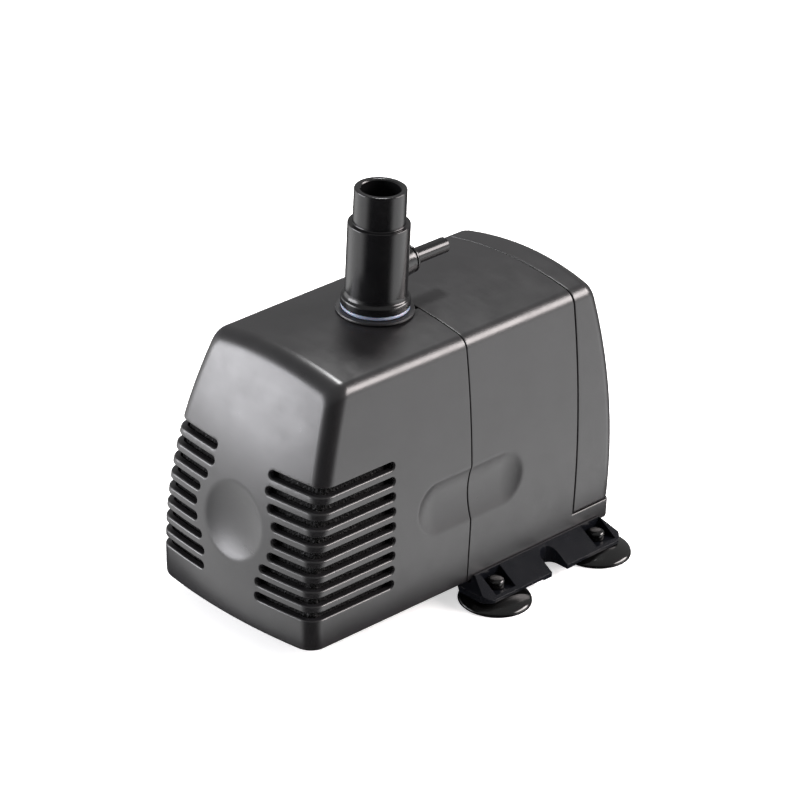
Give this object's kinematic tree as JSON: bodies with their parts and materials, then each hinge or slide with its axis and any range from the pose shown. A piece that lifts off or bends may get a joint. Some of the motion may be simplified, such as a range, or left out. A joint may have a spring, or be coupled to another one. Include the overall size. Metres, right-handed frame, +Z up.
{
  "type": "submersible fountain pump",
  "caption": "Submersible fountain pump with slotted strainer cover, magnet-drive rotor, stepped outlet nozzle with air inlet barb, and suction-cup base plate.",
  "frame": {"origin": "centre of the footprint of the whole object, on the surface that the suction cups stand on", "axes": "-Y is the slotted front of the strainer cover, +Y the rear cap with the cord gland, +Z up along the outlet nozzle, X across the casing"},
  "size_m": [0.13, 0.1849, 0.1735],
  "materials": {
    "casing": "satin charcoal ABS",
    "gloss_black": "glossy black moulding",
    "base_black": "semi-gloss black moulding",
    "rubber": "glossy soft rubber",
    "seal": "translucent bluish silicone",
    "foam": "open-cell filter foam",
    "inner_plastic": "black structural plastic",
    "electrical_steel": "stacked laminations",
    "stainless": "stainless screws",
    "copper": "enamelled copper winding",
    "nylon": "natural nylon",
    "ferrite": "sintered ferrite magnet",
    "ceramic": "polished ceramic",
    "resin": "cast epoxy"
  },
  "bodies": {
    "casing": {"base_plate": "base_black", "bearing_bush_front": "rubber", "bearing_bush_rear": "rubber", "bobbin_left": "nylon", "bobbin_right": "nylon", "chamber_cover": "inner_plastic", "chamber_screw_1": "stainless", "chamber_screw_2": "stainless", "chamber_screw_3": "stainless", "chamber_screw_4": "stainless", "chamber_seal": "seal", "coil_left": "copper", "coil_right": "copper", "cord_gland": "rubber", "motor_housing": "casing", "outlet_seal": "seal", "potting_resin": "resin", "pump_chamber": "inner_plastic", "rear_cap": "casing", "rotor_can": "inner_plastic", "rotor_shaft": "ceramic", "stator_core": "electrical_steel", "suction_cup_front_left": "rubber", "suction_cup_front_right": "rubber", "suction_cup_rear_left": "rubber", "suction_cup_rear_right": "rubber", "thrust_washer_front": "ceramic", "thrust_washer_rear": "ceramic"},
    "strainer": {"strainer_cover": "casing", "filter_foam": "foam"},
    "rotor": {"impeller": "nylon", "rotor_magnet": "ferrite"},
    "nozzle": {"outlet_nozzle": "gloss_black", "air_barb": "gloss_black"}
  },
  "joints": [
    {"name": "strainer_slide", "type": "slide", "parent": "casing", "child": "strainer", "axis": [0, -1, 0], "range_m": [0, 0.095]},
    {"name": "rotor_spin", "type": "hinge", "parent": "casing", "child": "rotor", "pos_m": [0, 0, 0.052], "axis": [0, 1, 0], "continuous": true},
    {"name": "nozzle_swivel", "type": "hinge", "parent": "casing", "child": "nozzle", "pos_m": [0, -0.0164, 0.15], "axis": [0, 0, 1], "continuous": true}
  ]
}
